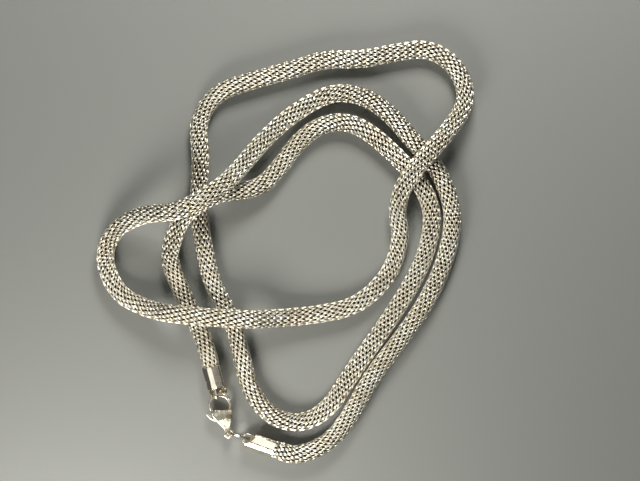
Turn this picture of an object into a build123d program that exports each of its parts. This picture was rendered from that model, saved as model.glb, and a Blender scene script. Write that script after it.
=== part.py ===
"""Popcorn chain necklace: a hollow woven metal chain with folded end caps and a lobster clasp.

Millimetres, +Z up. The necklace lies on the plane z = 0 in the loops of its photograph, seen from
above with +X to the right and +Y up the picture. The origin is the middle of its base.
"""
from build123d import *
from math import cos, pi, radians, sin, tan
import os

# Woven chain
CHAIN_OD = 5.0
CHAIN_WALL = 1.0
NECK_LENGTH = 2.4
NECK_GAP = 0.2
ARC_SHARE = 0.45

# End cap, a strip folded round the crimped end of the chain
CAP_WIDTH = 5.2
CAP_HEIGHT = 5.1
CAP_SHEET = 0.4
CAP_SHORT_SIDE = 6.1
CAP_SEAM_SIDE = 7.1
CAP_LONG_SIDE = 8.3
CAP_CORNER = 0.3
CAP_SEAM = 0.25
CAP_MOUTH_GAP = 0.1
CAP_FLOOR_GAP = 0.05
TAB_THICKNESS = 0.6
TAB_DROP = 0.7
TAB_EYE_AT = 8.1
TAB_RADIUS = 1.42
TAB_HOLE = 0.88
TAB_ROOT_AT = 3.4
TAB_BEND_AT = 5.0
TAB_RAMP = 1.3

# Lobster clasp, in its own plane: hook at the top, tail eye at the bottom
CLASP_TURN = 16.6
CLASP_PITCH = 2.5
CLASP_HANG_ANGLE = 96.5
HOOK_OUTER = 3.14
HOOK_WIRE = 0.72
HUNG_SHARE = 0.6
HOOK_SWELL_X, HOOK_SWELL_Y = -0.12, -0.15
HOOK_THICKNESS = 1.1
HOOK_TIP_ANGLE = 12.0
HOOK_CROWN_ANGLE = 90.0
HOOK_ROOT_ANGLE = 206.0
BODY_THICKNESS = 2.6
BODY_LENGTH = 6.6
BODY_ROUNDING = 0.25
TAIL_BLOCK = 1.3
NECK_LENGTH_TO_EYE = 1.6
TAIL_EYE_RADIUS = 1.4
TAIL_EYE_HOLE = 0.82
TAIL_EYE_THICKNESS = 0.9

# Lever of the clasp, which turns about the rivet
LEVER_THICKNESS = 0.9
LEVER_SIDE_GAP = 0.1
LEVER_TIP_GAP = 0.12
LEVER_RADIAL_GAP = 0.04
GATE_LOW_ANGLE = -42.0
GATE_LAP = 6.0
BOSS_RADIUS = 1.0
RIVET_RADIUS = 0.45
RIVET_PLATE_GAP = 0.04
RIVET_LEVER_GAP = 0.08
RIVET_HEAD_RADIUS = 0.75
RIVET_HEAD_HEIGHT = 0.18
RIVET_HEAD_GAP = 0.03

# Jump ring between the clasp's tail eye and the second cap's tab. It stands on its edge, and its
# lean is counted from the floor, so that past 90 degrees its top leans towards the loops.
RING_SPAN_SHARE = 0.53
RING_WIRE = 0.36
RING_LEAN = 97.0
RING_CLEAR = 0.03
RING_SPLIT = 3.0

# Heights of the chain's axis: on the floor, at the caps, and over one strand or two
FLOOR_LEVEL = CHAIN_OD / 2
CAP_LEVEL = max(CAP_WIDTH, CAP_HEIGHT) / 2 + CAP_FLOOR_GAP
OVER_GAP, UNDER_GAP, TOP_GAP = 0.7, 0.45, 0.35
LOW_HUMP = FLOOR_LEVEL + CHAIN_OD + OVER_GAP
UNDER_HUMP = FLOOR_LEVEL + CHAIN_OD + UNDER_GAP
TOP_HUMP = UNDER_HUMP + CHAIN_OD + TOP_GAP

# Places of the woven chain's axis, one row for each bend. The chain starts at the first cap,
# passes over itself at four places and ends at the second cap. Each point is x, y, height.
FIRST_HALF = [
    # from the first cap up to the pile of three strands
    (-20.2, -31.1, CAP_LEVEL), (-22.2, -23.7, CAP_LEVEL), (-25.2, -17.3, FLOOR_LEVEL),
    (-29.3, -8.4, FLOOR_LEVEL), (-31.9, -1.6, FLOOR_LEVEL), (-30.2, 4.4, 4.6),
    (-27.2, 10.6, UNDER_HUMP), (-18.6, 15.9, UNDER_HUMP), (-12.7, 16.5, 5.9), (-6.3, 17.8, 3.4),
    # the inner arch and the long way down the right
    (-1.1, 23.6, FLOOR_LEVEL), (3.2, 29.8, FLOOR_LEVEL), (9.0, 34.5, FLOOR_LEVEL),
    (16.1, 36.0, FLOOR_LEVEL), (23.2, 32.8, FLOOR_LEVEL), (30.8, 25.9, FLOOR_LEVEL),
    (37.5, 18.5, FLOOR_LEVEL), (40.7, 9.9, FLOOR_LEVEL), (38.4, -1.3, FLOOR_LEVEL),
    (32.6, -12.2, FLOOR_LEVEL), (24.3, -24.3, FLOOR_LEVEL), (17.6, -33.7, FLOOR_LEVEL),
    # the bottom of the loop, up the left and the top left corner
    (12.4, -42.4, FLOOR_LEVEL), (4.9, -47.1, FLOOR_LEVEL), (-3.9, -45.2, FLOOR_LEVEL),
    (-10.0, -37.1, FLOOR_LEVEL), (-12.1, -27.0, FLOOR_LEVEL), (-14.8, -17.7, FLOOR_LEVEL),
    (-20.0, -8.7, FLOOR_LEVEL), (-22.4, 2.2, FLOOR_LEVEL), (-23.5, 10.7, FLOOR_LEVEL),
    (-23.5, 17.8, FLOOR_LEVEL), (-23.0, 26.6, FLOOR_LEVEL), (-24.1, 35.8, FLOOR_LEVEL),
    (-18.6, 43.8, FLOOR_LEVEL), (-9.3, 46.8, FLOOR_LEVEL), (1.1, 49.6, FLOOR_LEVEL),
    (10.9, 52.8, FLOOR_LEVEL),
]
SECOND_HALF = [
    # along the top, round the top right corner and over two strands
    (20.7, 52.5, FLOOR_LEVEL), (30.8, 54.7, FLOOR_LEVEL), (39.6, 55.8, FLOOR_LEVEL),
    (47.4, 50.3, FLOOR_LEVEL), (50.0, 41.2, 3.6), (43.9, 32.2, LOW_HUMP), (32.5, 19.7, LOW_HUMP),
    (30.2, 11.5, 3.8), (31.9, 3.6, FLOOR_LEVEL), (28.4, -6.8, FLOOR_LEVEL),
    # across the middle over two strands, and round the left loop
    (19.4, -15.0, FLOOR_LEVEL), (7.9, -17.2, FLOOR_LEVEL), (-2.5, -18.0, 4.2),
    (-9.4, -18.3, LOW_HUMP), (-29.6, -16.9, LOW_HUMP), (-37.3, -15.5, 4.2),
    (-45.9, -11.4, FLOOR_LEVEL), (-50.0, -1.6, FLOOR_LEVEL), (-46.5, 6.6, 4.6),
    # over the pile, the middle arch and the outer way down the right
    (-37.7, 10.6, 9.0), (-28.5, 10.6, TOP_HUMP), (-16.7, 17.5, TOP_HUMP), (-11.8, 23.0, 8.6),
    (-4.9, 31.7, 4.0), (3.8, 39.1, FLOOR_LEVEL), (13.1, 44.0, FLOOR_LEVEL),
    (22.4, 42.5, FLOOR_LEVEL), (29.7, 36.8, FLOOR_LEVEL), (35.2, 30.0, FLOOR_LEVEL),
    (41.9, 22.7, FLOOR_LEVEL), (45.9, 12.3, FLOOR_LEVEL), (45.2, 2.0, FLOOR_LEVEL),
    (40.3, -10.9, FLOOR_LEVEL), (32.8, -22.3, FLOOR_LEVEL), (24.0, -33.3, FLOOR_LEVEL),
    # the bottom right bend and the second cap
    (18.7, -43.2, FLOOR_LEVEL), (12.5, -51.9, FLOOR_LEVEL), (3.2, -55.9, CAP_LEVEL),
    (-2.9, -53.7, CAP_LEVEL),
]

ROUTE = [Vector(*point) for point in FIRST_HALF + SECOND_HALF]
MEETING = (ROUTE[len(FIRST_HALF) - 1] + ROUTE[len(FIRST_HALF)]) * 0.5


def corner_radius(before, corner, after):
    """Radius of the arc at a corner of the route, as large as its shorter run allows."""
    run_in, run_out = corner - before, after - corner
    shorter = min(run_in.length, run_out.length)
    return ARC_SHARE * shorter / tan(radians(run_in.get_angle(run_out)) / 2)


CORNER_RADII = [corner_radius(*ROUTE[i - 1:i + 2]) for i in range(1, len(ROUTE) - 1)]
FIRST_RADII = CORNER_RADII[:len(FIRST_HALF) - 1]
SECOND_RADII = CORNER_RADII[len(FIRST_HALF) - 1:]

os.makedirs("parts", exist_ok=True)


def woven_tube(points, corner_radii, cap_end):
    """Hollow tube along one half of the route, with a narrow crimped neck at its cap's end."""
    bore = CHAIN_OD - 2 * CHAIN_WALL
    neck = min(CAP_WIDTH, CAP_HEIGHT) - 2 * (CAP_SHEET + NECK_GAP)
    with BuildPart() as tube:
        with BuildLine() as path:
            FilletPolyline(*points, radius=corner_radii)
        start = path.line @ 0
        with BuildSketch(Plane(origin=start, z_dir=path.line % 0)):
            Circle(CHAIN_OD / 2)
            Circle(bore / 2, mode=Mode.SUBTRACT)
        sweep(path=path.line)
        end, inward = (start, path.line % 0) if cap_end == 0 else (path.line @ 1, (path.line % 1) * -1)
        length = sum(edge.length for edge in path.line.edges())
        with BuildSketch(Plane(origin=end, z_dir=inward * -1)):
            Circle(neck / 2)
            Circle(bore / 2, mode=Mode.SUBTRACT)
        extrude(amount=NECK_LENGTH)
    solid = pi / 4 * ((CHAIN_OD ** 2 - bore ** 2) * length + (neck ** 2 - bore ** 2) * NECK_LENGTH)
    print("length", round(length, 1), "volume", round(tube.part.volume, 1), "section times length",
          round(solid, 1))
    print("radii", [round(radius, 1) for radius in corner_radii])
    return tube


chain_a = woven_tube(ROUTE[:len(FIRST_HALF)] + [MEETING], FIRST_RADII, cap_end=0)
chain_a.part.label = "chain_a"
export_step(chain_a.part, "parts/chain_a.step")

chain_b = woven_tube([MEETING] + ROUTE[len(FIRST_HALF):], SECOND_RADII, cap_end=1)
chain_b.part.label = "chain_b"
export_step(chain_b.part, "parts/chain_b.step")


def folded_cap(mouth):
    """End cap on a plane whose X runs from its mouth to its tab and whose Z is its seam's side."""
    half, high = CAP_WIDTH / 2, CAP_HEIGHT / 2
    floor, low = -high + CAP_SHEET / 2, -TAB_DROP - TAB_THICKNESS / 2
    across = Plane(origin=mouth.origin + mouth.x_dir * CAP_MOUTH_GAP, x_dir=mouth.y_dir, z_dir=mouth.x_dir)
    side = Plane(origin=mouth.origin, x_dir=mouth.x_dir, z_dir=mouth.y_dir * -1)
    with BuildPart() as cap:
        with BuildSketch(across):
            with BuildLine():
                Polyline(
                    (-0.46 * half, -high), (0.46 * half, -high), (0.88 * half, -0.45 * high),
                    (half, 0.05 * high), (0.9 * half, 0.55 * high), (0.55 * half, 0.88 * high),
                    (0.05 * half, high), (-0.72 * half, 0.94 * high), (-0.9 * half, 0.74 * high),
                    (-half, 0.04 * high), (-0.87 * half, -0.47 * high), close=True)
            make_face()
            fillet(vertices(), radius=CAP_CORNER)
            offset(amount=-CAP_SHEET, kind=Kind.INTERSECTION, mode=Mode.SUBTRACT)
        extrude(amount=CAP_LONG_SIDE - CAP_MOUTH_GAP)
        with BuildSketch(mouth.offset(-CAP_HEIGHT)):
            with BuildLine():
                Polyline(
                    (CAP_SHORT_SIDE, -CAP_WIDTH), (CAP_SHORT_SIDE, -0.45 * half),
                    (CAP_SEAM_SIDE, 0.2 * half), (0.95 * CAP_LONG_SIDE, 0.42 * half),
                    (1.12 * CAP_LONG_SIDE, 0.75 * half), (1.12 * CAP_LONG_SIDE, -CAP_WIDTH), close=True)
            make_face()
        extrude(amount=2 * CAP_HEIGHT, mode=Mode.SUBTRACT)
        with BuildSketch(mouth):
            with Locations((CAP_LONG_SIDE / 2, 0.05 * half + CAP_SEAM / 2)):
                Rectangle(2 * CAP_LONG_SIDE, CAP_SEAM)
        extrude(amount=CAP_HEIGHT, mode=Mode.SUBTRACT)
        with BuildSketch(side):
            with BuildLine():
                Polyline(
                    (TAB_ROOT_AT, floor), (TAB_BEND_AT, floor), (TAB_BEND_AT + TAB_RAMP, low),
                    (TAB_EYE_AT + TAB_RADIUS, low), (TAB_EYE_AT + TAB_RADIUS, low + TAB_THICKNESS),
                    (TAB_BEND_AT + TAB_RAMP - TAB_THICKNESS / 2, low + TAB_THICKNESS),
                    (TAB_BEND_AT - TAB_THICKNESS / 2, floor + TAB_THICKNESS),
                    (TAB_ROOT_AT, floor + TAB_THICKNESS), close=True)
            make_face()
        extrude(amount=TAB_RADIUS, both=True)
        with BuildSketch(mouth.offset(-TAB_DROP)):
            with Locations((TAB_EYE_AT + TAB_RADIUS, 0)):
                Rectangle(2 * TAB_RADIUS, 2 * TAB_RADIUS)
            with Locations((TAB_EYE_AT, 0)):
                Circle(TAB_RADIUS, mode=Mode.SUBTRACT)
                Circle(TAB_HOLE)
        extrude(amount=TAB_THICKNESS, both=True, mode=Mode.SUBTRACT)
    return cap


def cap_plane(end, towards_chain, seam_side):
    """Plane of a cap at the end of the route, on the line of the route's last run."""
    return Plane(origin=end, x_dir=(end - towards_chain).normalized(), z_dir=seam_side)


first_mouth, second_mouth = ROUTE[0], ROUTE[-1]
first_axis = (first_mouth - ROUTE[1]).normalized()
first_plane = cap_plane(first_mouth, ROUTE[1], Vector(-first_axis.Y, first_axis.X, 0))
second_plane = cap_plane(second_mouth, ROUTE[-2], Vector(0, 0, 1))

end_cap_a = folded_cap(first_plane)
end_cap_a.part.label = "end_cap_a"
export_step(end_cap_a.part, "parts/end_cap_a.step")

end_cap_b = folded_cap(second_plane)
end_cap_b.part.label = "end_cap_b"
export_step(end_cap_b.part, "parts/end_cap_b.step")

turn, pitch = radians(CLASP_TURN), radians(CLASP_PITCH)
clasp_right = Vector(cos(turn), sin(turn), 0)
clasp_up = Vector(-sin(turn) * cos(pitch), cos(turn) * cos(pitch), sin(pitch))
hang = radians(CLASP_HANG_ANGLE)
hung_radius = HOOK_OUTER - HUNG_SHARE * HOOK_WIRE
first_eye = first_plane.from_local_coords(Vector(TAB_EYE_AT, 0, -TAB_DROP))
clasp = Plane(origin=first_eye - (clasp_right * cos(hang) + clasp_up * sin(hang)) * hung_radius,
              x_dir=clasp_right, z_dir=clasp_right.cross(clasp_up))
clasp_side = Plane(origin=clasp.origin, x_dir=clasp.y_dir, z_dir=clasp.x_dir)
tail_eye_y = -BODY_LENGTH - NECK_LENGTH_TO_EYE

# Outlines of the clasp, as shares of the hook's outer radius, and of the body's length below it
BODY_OUTLINE = [(-0.97, -0.14), (-0.89, -0.39), (-0.56, -0.79), (-0.31, -1), (0.31, -1),
                (0.53, -0.79), (0.75, -0.52), (0.8, -0.36)]
LEVER_OUTLINE = [(0.72, -0.51), (0.41, -0.71), (0.29, -0.7), (-0.88, -0.6), (-1.24, -0.42),
                 (-1.42, -0.24), (-1.37, -0.19), (-1.07, -0.33), (-0.73, -0.345), (0.22, -0.4)]
ROOT_SHARES = [(-0.6, 0), (-0.7, -0.31), (-1.3, -0.31)]
PIVOT_SHARES = (0.414, -0.568)


def clasp_points(shares):
    """Points of an outline in the clasp's plane, from its shares."""
    return [(across * HOOK_OUTER, along * BODY_LENGTH) for across, along in shares]


def ring_point(radius, angle):
    """Point of the clasp's plane on a circle about the middle of its hook."""
    return radius * cos(radians(angle)), radius * sin(radians(angle))


def hook_band(low_angle, high_angle, gap=0.0):
    """Band between the hook's outer and inner circles, from one angle to the other."""
    reach = 2 * HOOK_OUTER
    steps = [low_angle + (high_angle - low_angle) * share / 4 for share in range(5)]
    Circle(HOOK_OUTER - gap)
    with Locations((HOOK_SWELL_X, HOOK_SWELL_Y)):
        Circle(HOOK_OUTER - HOOK_WIRE + gap, mode=Mode.SUBTRACT)
    Polygon((0, 0), *[ring_point(reach, angle) for angle in steps], align=None, mode=Mode.INTERSECT)


pivot_point = clasp_points([PIVOT_SHARES])[0]
gate_tip = ring_point(HOOK_OUTER - HOOK_WIRE / 2, HOOK_TIP_ANGLE)
gate_reach = (Vector(*gate_tip, 0) - Vector(*pivot_point, 0)).length
gate_root = [ring_point(radius, GATE_LOW_ANGLE + GATE_LAP)
             for radius in (HOOK_OUTER - HOOK_WIRE, HOOK_OUTER - LEVER_RADIAL_GAP)]
slot_height = LEVER_THICKNESS + 2 * LEVER_SIDE_GAP
with BuildPart() as clasp_body:
    with BuildSketch(clasp):
        Polygon(*clasp_points(BODY_OUTLINE), align=None)
        fillet(vertices(), radius=BODY_ROUNDING)
    extrude(amount=BODY_THICKNESS / 2, both=True)
    with BuildSketch(clasp_side):
        with BuildLine():
            Polyline(
                (0, 0.37 * BODY_THICKNESS), (-0.25 * BODY_LENGTH, BODY_THICKNESS / 2),
                (-0.62 * BODY_LENGTH, BODY_THICKNESS / 2), (-BODY_LENGTH, TAIL_EYE_THICKNESS / 2),
                (-BODY_LENGTH, -TAIL_EYE_THICKNESS / 2), (-0.62 * BODY_LENGTH, -BODY_THICKNESS / 2),
                (-0.25 * BODY_LENGTH, -BODY_THICKNESS / 2), (0, -0.37 * BODY_THICKNESS), close=True)
        make_face()
    extrude(amount=2 * HOOK_OUTER, both=True, mode=Mode.INTERSECT)
    with BuildSketch(clasp):
        root = clasp_points(ROOT_SHARES)
        block = -BODY_LENGTH + TAIL_BLOCK
        Polygon(*root, (root[-1][0], block), (2 * HOOK_OUTER, block), (2 * HOOK_OUTER, 0), align=None)
    extrude(amount=slot_height / 2, both=True, mode=Mode.SUBTRACT)
    with BuildSketch(clasp):
        hook_band(HOOK_CROWN_ANGLE, HOOK_ROOT_ANGLE)
    extrude(amount=HOOK_THICKNESS / 2, both=True)
    with BuildSketch(clasp):
        hook_band(0, HOOK_CROWN_ANGLE)
        with Locations(pivot_point):
            Circle(gate_reach + LEVER_TIP_GAP, mode=Mode.SUBTRACT)
    extrude(amount=HOOK_THICKNESS / 2, both=True)
    with BuildSketch(clasp):
        with BuildLine():
            Polyline(
                (-0.72 * TAIL_EYE_RADIUS, block / 2 - BODY_LENGTH / 2),
                (0.72 * TAIL_EYE_RADIUS, block / 2 - BODY_LENGTH / 2),
                (0.65 * TAIL_EYE_RADIUS, tail_eye_y), (-0.65 * TAIL_EYE_RADIUS, tail_eye_y), close=True)
        make_face()
        with Locations((0, tail_eye_y)):
            Circle(TAIL_EYE_RADIUS)
            Circle(TAIL_EYE_HOLE, mode=Mode.SUBTRACT)
    extrude(amount=TAIL_EYE_THICKNESS / 2, both=True)
    with BuildSketch(clasp):
        with Locations(pivot_point):
            Circle(RIVET_RADIUS + RIVET_PLATE_GAP)
    extrude(amount=BODY_THICKNESS, both=True, mode=Mode.SUBTRACT)
clasp_body.part.label = "clasp_body"
export_step(clasp_body.part, "parts/clasp_body.step")

with BuildPart() as clasp_lever:
    with BuildSketch(clasp):
        hook_band(GATE_LOW_ANGLE, 2 * HOOK_TIP_ANGLE, gap=LEVER_RADIAL_GAP)
        with Locations(pivot_point):
            Circle(gate_reach, mode=Mode.INTERSECT)
        Polygon(*gate_root, *clasp_points(LEVER_OUTLINE), align=None)
        with Locations(pivot_point):
            Circle(BOSS_RADIUS)
            Circle(RIVET_RADIUS + RIVET_LEVER_GAP, mode=Mode.SUBTRACT)
    extrude(amount=LEVER_THICKNESS / 2, both=True)
clasp_lever.part.label = "clasp_lever"
export_step(clasp_lever.part, "parts/clasp_lever.step")

with BuildPart() as clasp_rivet:
    with BuildSketch(clasp):
        with Locations(pivot_point):
            Circle(RIVET_RADIUS)
    extrude(amount=BODY_THICKNESS / 2 + RIVET_HEAD_GAP, both=True)
    for direction in (1, -1):
        with BuildSketch(clasp.offset(direction * (BODY_THICKNESS / 2 + RIVET_HEAD_GAP))):
            with Locations(pivot_point):
                Circle(RIVET_HEAD_RADIUS)
        extrude(amount=direction * RIVET_HEAD_HEIGHT)
clasp_rivet.part.label = "clasp_rivet"
export_step(clasp_rivet.part, "parts/clasp_rivet.step")

tail_eye = clasp.from_local_coords(Vector(0, tail_eye_y, 0))
tab_eye = second_plane.from_local_coords(Vector(TAB_EYE_AT, 0, -TAB_DROP))
ring_radius = RING_SPAN_SHARE * (tab_eye - tail_eye).length
flat = Vector(tab_eye.X - tail_eye.X, tab_eye.Y - tail_eye.Y, 0).normalized()
lean_side = Vector(flat.Y, -flat.X, 0)
rise = lean_side * cos(radians(RING_LEAN)) + Vector(0, 0, 1) * sin(radians(RING_LEAN))
ring_height = ring_radius * sin(radians(RING_LEAN)) + RING_WIRE + RING_CLEAR
eyes_middle = (tail_eye + tab_eye) * 0.5
ring_middle = Vector(eyes_middle.X, eyes_middle.Y, 0) + Vector(0, 0, ring_height) \
    + lean_side * ((ring_height - eyes_middle.Z) / tan(radians(RING_LEAN)))

with BuildPart() as jump_ring:
    with BuildSketch(Plane(origin=ring_middle, x_dir=rise, z_dir=flat)):
        with Locations((ring_radius, 0)):
            Circle(RING_WIRE)
    revolve(axis=Axis(ring_middle, flat.cross(rise)), revolution_arc=360 - RING_SPLIT)
jump_ring.part.label = "jump_ring"
export_step(jump_ring.part, "parts/jump_ring.step")

pivot = clasp.from_local_coords(Vector(*pivot_point, 0))
print("pivot", tuple(round(value, 4) for value in pivot), "axis",
      tuple(round(value, 5) for value in clasp.z_dir))
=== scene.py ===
"""Popcorn chain necklace lying in loose loops: a woven wire tube, two folded end caps and a lobster clasp.

Metres, +Z up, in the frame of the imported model. The chain is woven here from courses of wire, along
the same route as its solid tube. The necklace's sizes are written in millimetres and multiplied by MM.
"""
from __future__ import annotations

import logging
import math
from dataclasses import dataclass
from enum import Enum

import bpy
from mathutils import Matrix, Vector


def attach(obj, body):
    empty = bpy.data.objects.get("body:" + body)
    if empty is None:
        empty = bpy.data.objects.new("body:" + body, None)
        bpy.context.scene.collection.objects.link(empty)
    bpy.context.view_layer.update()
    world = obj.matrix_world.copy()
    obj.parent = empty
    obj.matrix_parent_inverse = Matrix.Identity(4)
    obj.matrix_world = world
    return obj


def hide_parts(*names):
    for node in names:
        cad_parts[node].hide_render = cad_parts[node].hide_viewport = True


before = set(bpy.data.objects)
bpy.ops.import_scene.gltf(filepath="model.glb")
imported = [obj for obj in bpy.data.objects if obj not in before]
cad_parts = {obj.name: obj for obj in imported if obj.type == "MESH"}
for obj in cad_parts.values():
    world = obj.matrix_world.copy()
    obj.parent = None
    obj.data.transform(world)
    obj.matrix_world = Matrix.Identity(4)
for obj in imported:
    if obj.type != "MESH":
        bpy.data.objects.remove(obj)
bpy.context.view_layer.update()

MM = 0.001

NECKLACE = "necklace"
LEVER = "lever"
log = logging.getLogger(NECKLACE)

# Name of the number that the wire keeps at each point for its painted shade: 1 shows its full colour, 0 is
# painted fully dark as the shadow inside the tube
UNSHADED = "unshaded"

# Colours of the light: pale daylight and a little warmer
DAYLIGHT = (1.0, 0.99, 0.95)
WARM_LIGHT = (1.0, 0.98, 0.93)

# Corners of the chain's route in millimetres, from the first cap to the second: x, y, height
ROUTE = [
    # from the first cap up to the pile of three strands
    (-20.2, -31.1, 2.65), (-22.2, -23.7, 2.65), (-25.2, -17.3, 2.5), (-29.3, -8.4, 2.5),
    (-31.9, -1.6, 2.5), (-30.2, 4.4, 4.6), (-27.2, 10.6, 7.95), (-18.6, 15.9, 7.95),
    (-12.7, 16.5, 5.9), (-6.3, 17.8, 3.4),
    # the inner arch and the long way down the right
    (-1.1, 23.6, 2.5), (3.2, 29.8, 2.5), (9.0, 34.5, 2.5), (16.1, 36.0, 2.5), (23.2, 32.8, 2.5),
    (30.8, 25.9, 2.5), (37.5, 18.5, 2.5), (40.7, 9.9, 2.5), (38.4, -1.3, 2.5), (32.6, -12.2, 2.5),
    (24.3, -24.3, 2.5), (17.6, -33.7, 2.5),
    # the bottom of the loop, up the left and the top left corner
    (12.4, -42.4, 2.5), (4.9, -47.1, 2.5), (-3.9, -45.2, 2.5), (-10.0, -37.1, 2.5),
    (-12.1, -27.0, 2.5), (-14.8, -17.7, 2.5), (-20.0, -8.7, 2.5), (-22.4, 2.2, 2.5),
    (-23.5, 10.7, 2.5), (-23.5, 17.8, 2.5), (-23.0, 26.6, 2.5), (-24.1, 35.8, 2.5),
    (-18.6, 43.8, 2.5), (-9.3, 46.8, 2.5), (1.1, 49.6, 2.5), (10.9, 52.8, 2.5),
    # along the top, round the top right corner and over two strands
    (20.7, 52.5, 2.5), (30.8, 54.7, 2.5), (39.6, 55.8, 2.5), (47.4, 50.3, 2.5), (50.0, 41.2, 3.6),
    (43.9, 32.2, 8.2), (32.5, 19.7, 8.2), (30.2, 11.5, 3.8), (31.9, 3.6, 2.5), (28.4, -6.8, 2.5),
    # across the middle over two strands, and round the left loop
    (19.4, -15.0, 2.5), (7.9, -17.2, 2.5), (-2.5, -18.0, 4.2), (-9.4, -18.3, 8.2),
    (-29.6, -16.9, 8.2), (-37.3, -15.5, 4.2), (-45.9, -11.4, 2.5), (-50.0, -1.6, 2.5),
    (-46.5, 6.6, 4.6),
    # over the pile, the middle arch and the outer way down the right
    (-37.7, 10.6, 9.0), (-28.5, 10.6, 13.3), (-16.7, 17.5, 13.3), (-11.8, 23.0, 8.6),
    (-4.9, 31.7, 4.0), (3.8, 39.1, 2.5), (13.1, 44.0, 2.5), (22.4, 42.5, 2.5), (29.7, 36.8, 2.5),
    (35.2, 30.0, 2.5), (41.9, 22.7, 2.5), (45.9, 12.3, 2.5), (45.2, 2.0, 2.5), (40.3, -10.9, 2.5),
    (32.8, -22.3, 2.5), (24.0, -33.3, 2.5),
    # the bottom right bend and the second cap
    (18.7, -43.2, 2.5), (12.5, -51.9, 2.5), (3.2, -55.9, 2.65), (-2.9, -53.7, 2.65),
]


class Piece(Enum):
    """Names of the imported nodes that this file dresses."""

    FIRST_HALF = "chain_a"
    SECOND_HALF = "chain_b"
    FIRST_CAP = "end_cap_a"
    SECOND_CAP = "end_cap_b"
    CLASP_BODY = "clasp_body"
    CLASP_LEVER = "clasp_lever"
    CLASP_RIVET = "clasp_rivet"
    JUMP_RING = "jump_ring"


class Slot(Enum):
    """Finish slots of the record."""

    WIRE = "woven_wire"
    CAP = "cap_metal"
    CLASP = "clasp_metal"
    RING = "ring_wire"


class NodeSheet:
    """A material's node tree with short calls to add and join nodes."""

    def __init__(self, name: str) -> None:
        """Starts a material with one Principled shader.

        Args:
            name: The material's name.
        """
        self.material = bpy.data.materials.new(name)
        self.material.use_nodes = True
        self.tree = self.material.node_tree
        self.shader = self.tree.nodes["Principled BSDF"]

    def add(self, kind: str, **sockets: object) -> bpy.types.Node:
        """Adds a node and fills its input sockets.

        Args:
            kind: The node's type without its ShaderNode prefix.
            **sockets: Values of inputs, with spaces in their names written as underscores.

        Returns:
            The new node.
        """
        node = self.tree.nodes.new("ShaderNode" + kind)
        for name, value in sockets.items():
            node.inputs[name.replace("_", " ")].default_value = value
        return node

    def join(self, output: bpy.types.NodeSocket, target: bpy.types.NodeSocket) -> None:
        """Joins an output socket to an input socket."""
        self.tree.links.new(output, target)

    def noise(self, vector: bpy.types.NodeSocket, scale: float, detail: float = 4.0) -> bpy.types.NodeSocket:
        """Adds a noise texture.

        Args:
            vector: The socket that places the pattern.
            scale: Patches per metre.
            detail: Octaves of finer noise.

        Returns:
            The noise's factor socket.
        """
        texture = self.add("TexNoise", Scale=scale, Detail=detail)
        self.join(vector, texture.inputs["Vector"])
        return texture.outputs["Fac"]

    def attribute(self, name: str) -> bpy.types.NodeSocket:
        """Reads a number that the mesh keeps at each of its points.

        Args:
            name: The attribute's name.

        Returns:
            The number's socket.
        """
        reader = self.add("Attribute")
        reader.attribute_name = name
        return reader.outputs["Fac"]

    def spread(self, value: bpy.types.NodeSocket, low: float, high: float,
               start: float = 0.35, stop: float = 0.65) -> bpy.types.NodeSocket:
        """Maps a pattern's middle range to a range of values.

        Args:
            value: The pattern's socket.
            low: Result at and below start.
            high: Result at and above stop.
            start: Where the range begins in the pattern.
            stop: Where it ends.

        Returns:
            The mapped socket.
        """
        ranged = self.add("MapRange")
        for name, number in (("From Min", start), ("From Max", stop), ("To Min", low), ("To Max", high)):
            ranged.inputs[name].default_value = number
        self.join(value, ranged.inputs["Value"])
        return ranged.outputs["Result"]

    def blend(self, factor: bpy.types.NodeSocket, first: tuple[float, ...],
              second: tuple[float, ...] | bpy.types.NodeSocket) -> bpy.types.NodeSocket:
        """Mixes two colours by a factor.

        Args:
            factor: 0 gives the first colour, 1 the second.
            first: Red, green and blue.
            second: Red, green and blue, or the socket of a colour.

        Returns:
            The mixed colour's socket.
        """
        mix = self.add("Mix")
        mix.data_type = "RGBA"
        self.join(factor, mix.inputs["Factor"])
        mix.inputs["A"].default_value = (*first, 1.0)
        if isinstance(second, tuple):
            mix.inputs["B"].default_value = (*second, 1.0)
        else:
            self.join(second, mix.inputs["B"])
        return mix.outputs["Result"]


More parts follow.
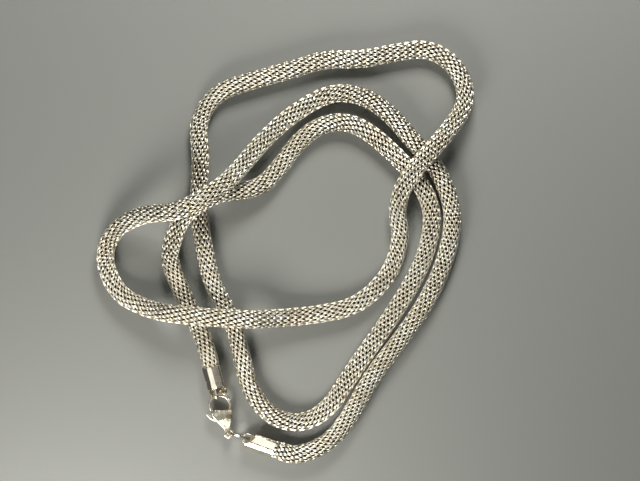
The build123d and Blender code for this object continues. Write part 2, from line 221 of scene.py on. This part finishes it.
@dataclass(frozen=True)
class Metal:
    """A metal with uneven tone, soft scuffs, fine scratches and, where given, painted shade in its depths.

    Attributes:
        name: The material's name.
        tone: Main colour.
        shade: Colour of its duller patches.
        patch: Patches per metre.
        smooth: Roughness of the polished places.
        scuffed: Roughness of the worn places.
        scratch: Scratches per metre.
        depth: Height of the scratches.
        painted_shade: Painted shade, the colour of what lies deep inside the woven tube, standing in for the
            shadow there, where a piece has such places.
        wear: How many times finer the worn places are than the patches.
        stretch: How the scratches are drawn out along their way, per axis.
        slant: How their way is turned, per axis, in radians.
        relief: Share of their height that shows.
    """

    name: str
    tone: tuple[float, float, float]
    shade: tuple[float, float, float]
    patch: float
    smooth: float
    scuffed: float
    scratch: float
    depth: float
    painted_shade: tuple[float, float, float] | None = None
    wear: float = 3.1
    stretch: tuple[float, float, float] = (1.0, 0.12, 0.35)
    slant: tuple[float, float, float] = (0.3, 0.2, 0.6)
    relief: float = 0.5

    def material(self) -> bpy.types.Material:
        """Builds the finish.

        Returns:
            A material on Object coordinates.
        """
        sheet = NodeSheet(self.name)
        place = sheet.add("TexCoord").outputs["Object"]
        patches = sheet.noise(place, self.patch)
        colour = sheet.blend(sheet.spread(patches, 0.0, 1.0), self.tone, self.shade)
        # Painted shade: the wire darkens towards this colour the deeper it lies inside the tube
        if self.painted_shade:
            colour = sheet.blend(sheet.attribute(UNSHADED), self.painted_shade, colour)
        sheet.join(colour, sheet.shader.inputs["Base Color"])
        worn = sheet.noise(place, self.wear * self.patch, detail=6.0)
        sheet.join(sheet.spread(worn, self.smooth, self.scuffed), sheet.shader.inputs["Roughness"])
        stretched = sheet.add("Mapping", Scale=self.stretch, Rotation=self.slant)
        sheet.join(place, stretched.inputs["Vector"])
        bump = sheet.add("Bump", Strength=self.relief, Distance=self.depth)
        sheet.join(sheet.noise(stretched.outputs["Vector"], self.scratch, detail=3.0), bump.inputs["Height"])
        sheet.join(bump.outputs["Normal"], sheet.shader.inputs["Normal"])
        sheet.shader.inputs["Metallic"].default_value = 1.0
        return sheet.material


# The wire's near-black colour deep inside the tube is painted shade for the hollow's shadow
WIRE_SILVER = Metal("wire_silver", tone=(0.97, 0.93, 0.81), shade=(0.8, 0.73, 0.58), patch=160.0,
                    smooth=0.32, scuffed=0.38, scratch=5200.0, depth=0.0015 * MM,
                    painted_shade=(0.05, 0.042, 0.03))
CAP_SILVER = Metal("cap_silver", tone=(0.8, 0.75, 0.64), shade=(0.7, 0.64, 0.52), patch=170.0,
                   smooth=0.17, scuffed=0.22, scratch=1500.0, depth=0.0006 * MM)
CLASP_SILVER = Metal("clasp_silver", tone=(0.78, 0.73, 0.6), shade=(0.66, 0.59, 0.46), patch=210.0,
                     smooth=0.22, scuffed=0.3, scratch=1700.0, depth=0.001 * MM)
# Dark finish of the rivet heads
DARK_RIVET = Metal("dark_rivet", tone=(0.22, 0.19, 0.13), shade=(0.12, 0.1, 0.07), patch=500.0,
                      smooth=0.3, scuffed=0.45, scratch=2400.0, depth=0.002 * MM)
RING_SILVER = Metal("ring_silver", tone=(0.84, 0.79, 0.7), shade=(0.64, 0.57, 0.47), patch=380.0,
                    smooth=0.18, scuffed=0.32, scratch=2400.0, depth=0.002 * MM)


def select_only(*objects: bpy.types.Object) -> None:
    """Deselects everything, then selects these objects and makes the first one active.

    Args:
        *objects: The objects to select.
    """
    bpy.ops.object.select_all(action="DESELECT")
    for chosen in objects:
        chosen.select_set(True)
    bpy.context.view_layer.objects.active = objects[0]


def choose_points(shape: bpy.types.Object, wanted: set[int]) -> None:
    """Enters edit mode with only the vertices of these numbers selected.

    Args:
        shape: The object to edit.
        wanted: Vertex numbers.
    """
    select_only(shape)
    bpy.ops.object.mode_set(mode="EDIT")
    bpy.ops.mesh.select_mode(type="VERT")
    bpy.ops.mesh.select_all(action="DESELECT")
    bpy.ops.object.mode_set(mode="OBJECT")
    for vertex in shape.data.vertices:
        vertex.select = vertex.index in wanted
    bpy.ops.object.mode_set(mode="EDIT")


def dress(shape: bpy.types.Object, finish: bpy.types.Material) -> None:
    """Gives an object its only material.

    Args:
        shape: The object.
        finish: Its material.
    """
    shape.data.materials.clear()
    shape.data.materials.append(finish)


@dataclass
class WovenChain:
    """Hollow tube woven of closed wire courses, each a wave that hooks into the courses beside it.

    Attributes:
        outer: Outside diameter of the tube.
        wire: Diameter of its wire.
        waves: Waves round one course, an odd number.
        steps: Points on one wave's line, before those at its four quarters are left out.
        pitch: Distance from one course to the next.
        crest: How far a wave reaches along the chain from its course's middle.
        crest_edge: Degrees into a wave where its crest reaches that far.
        lace: How far a wave swings out and in to pass its neighbours.
        tail: Length of chain inside each end cap.
        squeeze: Share of its radius left at its two ends.
        runs: Number of pieces that the whole length is made in.
        shade_start: How deep below the outside the wire's painted shade begins.
        shade_full: How deep the painted shade is full.
        lean: Steepest lean of the weave, in degrees from the chain's length.
        lean_wave: Length in which the lean goes to one side, to the other and back.
        lean_start: Where the weave first stands straight.
    """

    outer: float = 5.0 * MM
    wire: float = 0.33 * MM
    waves: int = 11
    steps: int = 12
    pitch: float = 1.05 * MM
    crest: float = 1.1 * MM
    crest_edge: float = 60.0
    lace: float = 0.27 * MM
    tail: float = 2.0 * MM
    squeeze: float = 0.82
    runs: int = 5
    # Depths where the painted shade inside the tube begins and where it is full
    shade_start: float = 0.08 * MM
    shade_full: float = 0.32 * MM
    lean: float = 22.0
    lean_wave: float = 210.0 * MM
    lean_start: float = 56.0 * MM

    def make_route(self) -> bpy.types.Object:
        """Lays the smooth line that the chain follows.

        Returns:
            A NURBS curve object that bends inside the route's corners and ends inside the caps.
        """
        places = [Vector(point) * MM for point in ROUTE]
        first = places[0] + (places[0] - places[1]).normalized() * self.tail
        last = places[-1] + (places[-1] - places[-2]).normalized() * self.tail
        line = bpy.data.curves.new("chain_line", "CURVE")
        line.dimensions = "3D"
        line.twist_mode = "MINIMUM"
        line.use_path = True
        line.resolution_u = 16
        spline = line.splines.new("NURBS")
        places = [first, *places, last]
        spline.points.add(len(places) - 1)
        turn = math.tan(math.radians(self.lean)) / (self.outer / 2) * self.lean_wave / math.tau
        gone = 0.0
        for number, (point, place) in enumerate(zip(spline.points, places)):
            gone += (place - places[max(number - 1, 0)]).length
            point.co = (*place, 1.0)
            point.tilt = -turn * math.cos(math.tau * (gone - self.lean_start) / self.lean_wave)
        spline.order_u = 3
        spline.use_endpoint_u = True
        route = bpy.data.objects.new("chain_line", line)
        bpy.context.scene.collection.objects.link(route)
        return route

    def make_course(self) -> bpy.types.Object:
        """Shapes one closed course of wire round the X axis.

        Returns:
            A mesh ring whose waves reach along X. Each side of a wave passes over one neighbour and
            under the other, so the ring weaves out and in twice as often as it waves.
        """
        top = math.sin(math.radians(self.crest_edge))
        middle = self.outer / 2 - self.wire / 2 - self.lace * top
        bpy.ops.object.select_all(action="DESELECT")
        bpy.ops.mesh.primitive_circle_add(vertices=self.waves * self.steps, radius=middle,
                                          rotation=(0.0, math.pi / 2, 0.0))
        course = bpy.context.object
        bpy.ops.object.transform_apply(rotation=True)
        for step in range(self.steps):
            phase = math.tau * step / self.steps
            rise = math.sin(phase) / top
            choose_points(course, set(range(step, self.waves * self.steps, self.steps)))
            bpy.ops.transform.translate(value=(self.crest * rise * abs(rise), 0.0, 0.0))
            weave = 1 + self.lace * math.sin(2 * phase) / middle
            bpy.ops.transform.resize(value=(1.0, weave, weave), center_override=(0.0, 0.0, 0.0))
            bpy.ops.object.mode_set(mode="OBJECT")
        choose_points(course, set(range(0, self.waves * self.steps, self.steps // 4)))
        bpy.ops.mesh.dissolve_verts()
        bpy.ops.object.mode_set(mode="OBJECT")
        bpy.ops.object.convert(target="CURVE")
        course.data.bevel_depth = self.wire / 2
        course.data.bevel_resolution = 1
        bpy.ops.object.convert(target="MESH")
        return bpy.context.object

    def make_pair(self, pitch: float) -> bpy.types.Object:
        """Hooks two courses into each other, the second turned end for end.

        Turning an odd number of waves end for end sets each crest against a trough.

        Args:
            pitch: Distance from one course to the next.

        Returns:
            One object that repeats every two courses, with the share of full colour that each depth keeps
            under the painted shade.
        """
        first = self.make_course()
        bpy.ops.object.duplicate()
        second = bpy.context.object
        bpy.ops.transform.rotate(value=math.pi, orient_axis="Z", center_override=(0.0, 0.0, 0.0))
        bpy.ops.transform.translate(value=(pitch, 0.0, 0.0))
        select_only(second, first)
        bpy.ops.object.join()
        bpy.ops.object.transform_apply(location=True, rotation=True)
        # Painted shade: points deeper inside the tube keep less of their full colour, standing in for the
        # shadow there
        unshaded = second.data.attributes.new(name=UNSHADED, type="FLOAT", domain="POINT")
        for unshaded_share, vertex in zip(unshaded.data, second.data.vertices):
            depth = self.outer / 2 - math.hypot(vertex.co.y, vertex.co.z)
            unshaded_share.value = min(max((self.shade_full - depth) / (self.shade_full - self.shade_start), 0.0), 1.0)
        return second

    def make_run(self, pair: bpy.types.Object, route: bpy.types.Object, number: int,
                 pairs: int, start: int, pitch: float, length: float) -> bpy.types.Object:
        """Repeats the pair along X and bends the run onto its stretch of the route.

        Args:
            pair: Two hooked courses.
            route: The smooth line.
            number: This run's number, from 1.
            pairs: How many pairs it holds.
            start: How many pairs lie before it.
            pitch: Distance from one course to the next.
            length: Length of the whole line.

        Returns:
            The woven run in its place.
        """
        select_only(pair)
        bpy.ops.object.duplicate()
        run = bpy.context.object
        run.name = f"woven_chain_{number}"
        repeat = run.modifiers.new("repeat", "ARRAY")
        repeat.count = pairs
        repeat.use_relative_offset = False
        repeat.use_constant_offset = True
        repeat.constant_offset_displace = (2 * pitch, 0.0, 0.0)
        bpy.ops.object.modifier_apply(modifier=repeat.name)
        bpy.ops.transform.translate(value=((2 * start + 0.5) * pitch, 0.0, 0.0))
        bpy.ops.object.transform_apply(location=True)
        self.crimp(run, length)
        bend = run.modifiers.new("bend", "CURVE")
        bend.object = route
        bend.deform_axis = "POS_X"
        bpy.ops.object.modifier_apply(modifier=bend.name)
        bpy.ops.object.shade_smooth()
        return run

    def crimp(self, run: bpy.types.Object, length: float) -> None:
        """Squeezes the straight run where it goes into a cap.

        Args:
            run: A straight run on the X axis.
            length: Length of the whole line.
        """
        reach = 2 * self.tail
        for vertex in run.data.vertices:
            inside = 1 - min(vertex.co.x, length - vertex.co.x) / reach
            if inside > 0:
                ease = inside * inside * (3 - 2 * inside) if inside < 1 else 1.0
                factor = 1 - (1 - self.squeeze) * ease
                vertex.co.y *= factor
                vertex.co.z *= factor

    def build(self) -> None:
        """Weaves the whole chain, run by run from the first cap to the second."""
        route = self.make_route()
        length = route.data.splines[0].calc_length()
        total = round(length / (2 * self.pitch))
        pitch = length / (2 * total)
        pair = self.make_pair(pitch)
        shares = [round(total * number / self.runs) for number in range(self.runs + 1)]
        runs = [self.make_run(pair, route, number + 1, stop - start, start, pitch, length)
                for number, (start, stop) in enumerate(zip(shares, shares[1:]))]
        bpy.data.objects.remove(pair)
        bpy.data.objects.remove(route)
        finish = WIRE_SILVER.material()
        for run in runs:
            dress(run, finish)
            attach(run, NECKLACE)
            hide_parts(Piece.FIRST_HALF.value, Piece.SECOND_HALF.value)
        log.info("woven chain: %d courses on %.1f mm", 2 * total, length / MM)


@dataclass(frozen=True)
class Fitting:
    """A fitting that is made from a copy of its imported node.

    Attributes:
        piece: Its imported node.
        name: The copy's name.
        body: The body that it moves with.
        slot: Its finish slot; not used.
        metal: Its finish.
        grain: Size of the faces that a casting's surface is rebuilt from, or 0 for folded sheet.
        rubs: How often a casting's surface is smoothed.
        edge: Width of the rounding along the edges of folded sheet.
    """

    piece: Piece
    name: str
    body: str
    slot: Slot
    metal: Metal
    grain: float = 0.0
    rubs: int = 0
    edge: float = 0.0


FITTINGS = (
    Fitting(Piece.CLASP_BODY, "cast_body", NECKLACE, Slot.CLASP, CLASP_SILVER, grain=0.09 * MM, rubs=6),
    Fitting(Piece.CLASP_LEVER, "cast_lever", LEVER, Slot.CLASP, CLASP_SILVER, grain=0.07 * MM, rubs=4),
    Fitting(Piece.CLASP_RIVET, "rivet_heads", NECKLACE, Slot.CLASP, DARK_RIVET, grain=0.05 * MM,
            rubs=3),
    Fitting(Piece.FIRST_CAP, "folded_cap_1", NECKLACE, Slot.CAP, CAP_SILVER, edge=0.06 * MM),
    Fitting(Piece.SECOND_CAP, "folded_cap_2", NECKLACE, Slot.CAP, CAP_SILVER, edge=0.06 * MM),
)


@dataclass
class Fittings:
    """The two end caps, the clasp and the jump ring.

    Attributes:
        merge: Distance within which a copied node's triangles are joined.
        flat: Angle below which two of its faces become one.
        sharp: Angle above which an edge of folded sheet is rounded.
        rub: How far one smoothing moves a casting's surface, from 0 to 1.
        bends: Faces across the rounding of a folded edge.
        hold: How strongly the shading keeps to the large faces beside it.
    """

    merge: float = 0.0005 * MM
    flat: float = math.radians(0.5)
    sharp: float = math.radians(16.0)
    rub: float = 0.5
    bends: int = 2
    hold: int = 100

    def copy_node(self, fitting: Fitting) -> bpy.types.Object:
        """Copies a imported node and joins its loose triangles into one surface.

        Args:
            fitting: The fitting to copy.

        Returns:
            The copy in its place, selected and active.
        """
        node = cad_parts[fitting.piece.value]
        copy = bpy.data.objects.new(fitting.name, node.data.copy())
        copy.matrix_world = node.matrix_world
        bpy.context.scene.collection.objects.link(copy)
        select_only(copy)
        bpy.ops.object.transform_apply(location=True, rotation=True, scale=True)
        bpy.ops.object.mode_set(mode="EDIT")
        bpy.ops.mesh.select_all(action="SELECT")
        bpy.ops.mesh.remove_doubles(threshold=self.merge)
        bpy.ops.mesh.dissolve_limited(angle_limit=self.flat)
        bpy.ops.object.mode_set(mode="OBJECT")
        return copy

    def recast(self, copy: bpy.types.Object, grain: float, rubs: int) -> None:
        """Rounds a copy all over, like a casting that has been worn.

        Args:
            copy: The active object.
            grain: Size of its new faces.
            rubs: How often they are smoothed.
        """
        rebuild = copy.modifiers.new("rebuild", "REMESH")
        rebuild.mode = "VOXEL"
        rebuild.voxel_size = grain
        rub = copy.modifiers.new("rub", "SMOOTH")
        rub.factor = self.rub
        rub.iterations = rubs
        for modifier in (rebuild, rub):
            bpy.ops.object.modifier_apply(modifier=modifier.name)
        bpy.ops.object.shade_smooth()

    def ease_edges(self, copy: bpy.types.Object, edge: float) -> None:
        """Rounds only the edges of a copy and keeps its facets flat, like bent sheet.

        Args:
            copy: The active object.
            edge: Width of the rounding.
        """
        bpy.ops.object.shade_smooth_by_angle(angle=self.sharp)
        ease = copy.modifiers.new("ease", "BEVEL")
        ease.width = edge
        ease.segments = self.bends
        ease.limit_method = "ANGLE"
        ease.angle_limit = self.sharp
        ease.use_clamp_overlap = False
        flats = copy.modifiers.new("flats", "WEIGHTED_NORMAL")
        flats.weight = self.hold
        for modifier in (ease, flats):
            bpy.ops.object.modifier_apply(modifier=modifier.name)

    def build(self) -> None:
        """Makes the fittings, and gives them and the jump ring their finishes."""
        finishes = {fitting.metal: fitting.metal.material() for fitting in FITTINGS}
        for fitting in FITTINGS:
            copy = self.copy_node(fitting)
            if fitting.grain:
                self.recast(copy, fitting.grain, fitting.rubs)
            else:
                self.ease_edges(copy, fitting.edge)
            dress(copy, finishes[fitting.metal])
            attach(copy, fitting.body)
            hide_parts(fitting.piece.value)
            log.info("%s: %d faces", fitting.name, len(copy.data.polygons))
        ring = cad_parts[Piece.JUMP_RING.value]
        ring.data.materials.clear()
        ring.data.materials.append(RING_SILVER.material())


@dataclass(frozen=True)
class Lamp:
    """A square soft light.

    Attributes:
        name: Its name.
        place: Its middle, in metres.
        side: Its side, in metres.
        power: Its watts.
        colour: Its colour.
    """

    name: str
    place: tuple[float, float, float]
    side: float
    power: float
    colour: tuple[float, float, float]


LAMPS = (
    Lamp("window", (-0.065, -0.147, 0.118), 0.085, 0.5, WARM_LIGHT),
    Lamp("lamp", (0.04, 0.24, 0.2), 0.11, 1.14, DAYLIGHT),
    Lamp("ceiling", (0.03, 0.005, 1.0), 0.2, 0.28, (1.0, 0.98, 0.9)),
    Lamp("wall", (-0.38, -0.165, 0.6), 0.2, 0.17, DAYLIGHT),
)


@dataclass
class Studio:
    """Pale floor, soft lights and the camera of the photograph, straight above the necklace.

    Attributes:
        height: Camera's height over the floor.
        aim: Point under the camera.
        lens: Focal length in millimetres for a 36 mm wide picture.
        floor_side: Side of the square floor.
        floor_tone: Its colour.
        floor_roughness: Its roughness.
        washes: How many lights stand in a ring round the others.
        wash_ring: Radius of that ring, and its height over the floor.
        wash_side: Side of each of these lights.
        wash_power: Watts of each.
        wash_beam: Angle of each beam.
        sky: Colour of the even light from all round.
        sky_strength: Its strength.
    """

    height: float = 520.0 * MM
    aim: tuple[float, float] = (9.53 * MM, 3.2 * MM)
    lens: float = 106.6
    floor_side: float = 3.0
    floor_tone: tuple[float, float, float] = (0.178, 0.183, 0.169)
    floor_roughness: float = 0.6
    washes: int = 6
    wash_ring: float = 0.5
    wash_side: float = 0.5
    wash_power: float = 1.3
    wash_beam: float = math.radians(42.0)
    sky: tuple[float, float, float] = (0.93, 0.96, 1.0)
    sky_strength: float = 0.1

    def make_camera(self) -> None:
        """Puts the camera over the necklace, looking straight down."""
        data = bpy.data.cameras.new("overhead")
        data.lens = self.lens
        camera = bpy.data.objects.new("overhead", data)
        camera.location = (*self.aim, self.height)
        bpy.context.scene.collection.objects.link(camera)
        bpy.context.scene.camera = camera

    def make_floor(self) -> None:
        """Lays a plain pale floor under the necklace."""
        bpy.ops.object.select_all(action="DESELECT")
        bpy.ops.mesh.primitive_plane_add(size=self.floor_side, location=(*self.aim, 0.0))
        floor = bpy.context.object
        floor.name = "floor"
        sheet = NodeSheet("pale_floor")
        sheet.shader.inputs["Base Color"].default_value = (*self.floor_tone, 1.0)
        sheet.shader.inputs["Roughness"].default_value = self.floor_roughness
        floor.data.materials.append(sheet.material)

    def hang(self, lamp: Lamp) -> bpy.types.Object:
        """Hangs a light that faces the point under the camera.

        Args:
            lamp: What to hang.

        Returns:
            The light.
        """
        data = bpy.data.lights.new(lamp.name, "AREA")
        data.size = lamp.side
        data.energy = lamp.power
        data.color = lamp.colour
        light = bpy.data.objects.new(lamp.name, data)
        light.location = lamp.place
        beam = Vector((*self.aim, 0.0)) - Vector(lamp.place)
        light.rotation_euler = beam.to_track_quat("-Z", "Y").to_euler()
        bpy.context.scene.collection.objects.link(light)
        return light

    def make_washes(self) -> None:
        """Lights the floor far from the necklace, straight down and in narrow beams.

        Low views show that floor, and the lights that face the necklace hardly reach it.
        """
        for turn in range(self.washes):
            angle = math.tau * (turn + 0.5) / self.washes
            place = (self.aim[0] + self.wash_ring * math.cos(angle),
                     self.aim[1] + self.wash_ring * math.sin(angle), self.wash_ring)
            wash = self.hang(Lamp(f"wash_{turn + 1}", place, self.wash_side, self.wash_power, DAYLIGHT))
            wash.rotation_euler = (0.0, 0.0, angle)
            wash.data.spread = self.wash_beam

    def make_sky(self) -> None:
        """Fills the shadows with an even pale light."""
        world = bpy.data.worlds.new("soft_room")
        world.use_nodes = True
        background = world.node_tree.nodes["Background"]
        background.inputs["Color"].default_value = (*self.sky, 1.0)
        background.inputs["Strength"].default_value = self.sky_strength
        bpy.context.scene.world = world

    def build(self) -> None:
        """Sets camera, floor and lights, and keeps the picture's plain contrast."""
        bpy.context.scene.view_settings.view_transform = "Standard"
        self.make_camera()
        self.make_floor()
        for lamp in LAMPS:
            self.hang(lamp)
        self.make_washes()
        self.make_sky()
        log.info("studio: camera %.0f mm above the floor", self.height / MM)


def main() -> None:
    """Builds the scene in order."""
    logging.basicConfig(level=logging.INFO, format="%(message)s")
    Studio().build()
    WovenChain().build()
    Fittings().build()


if __name__ == "__main__":
    main()
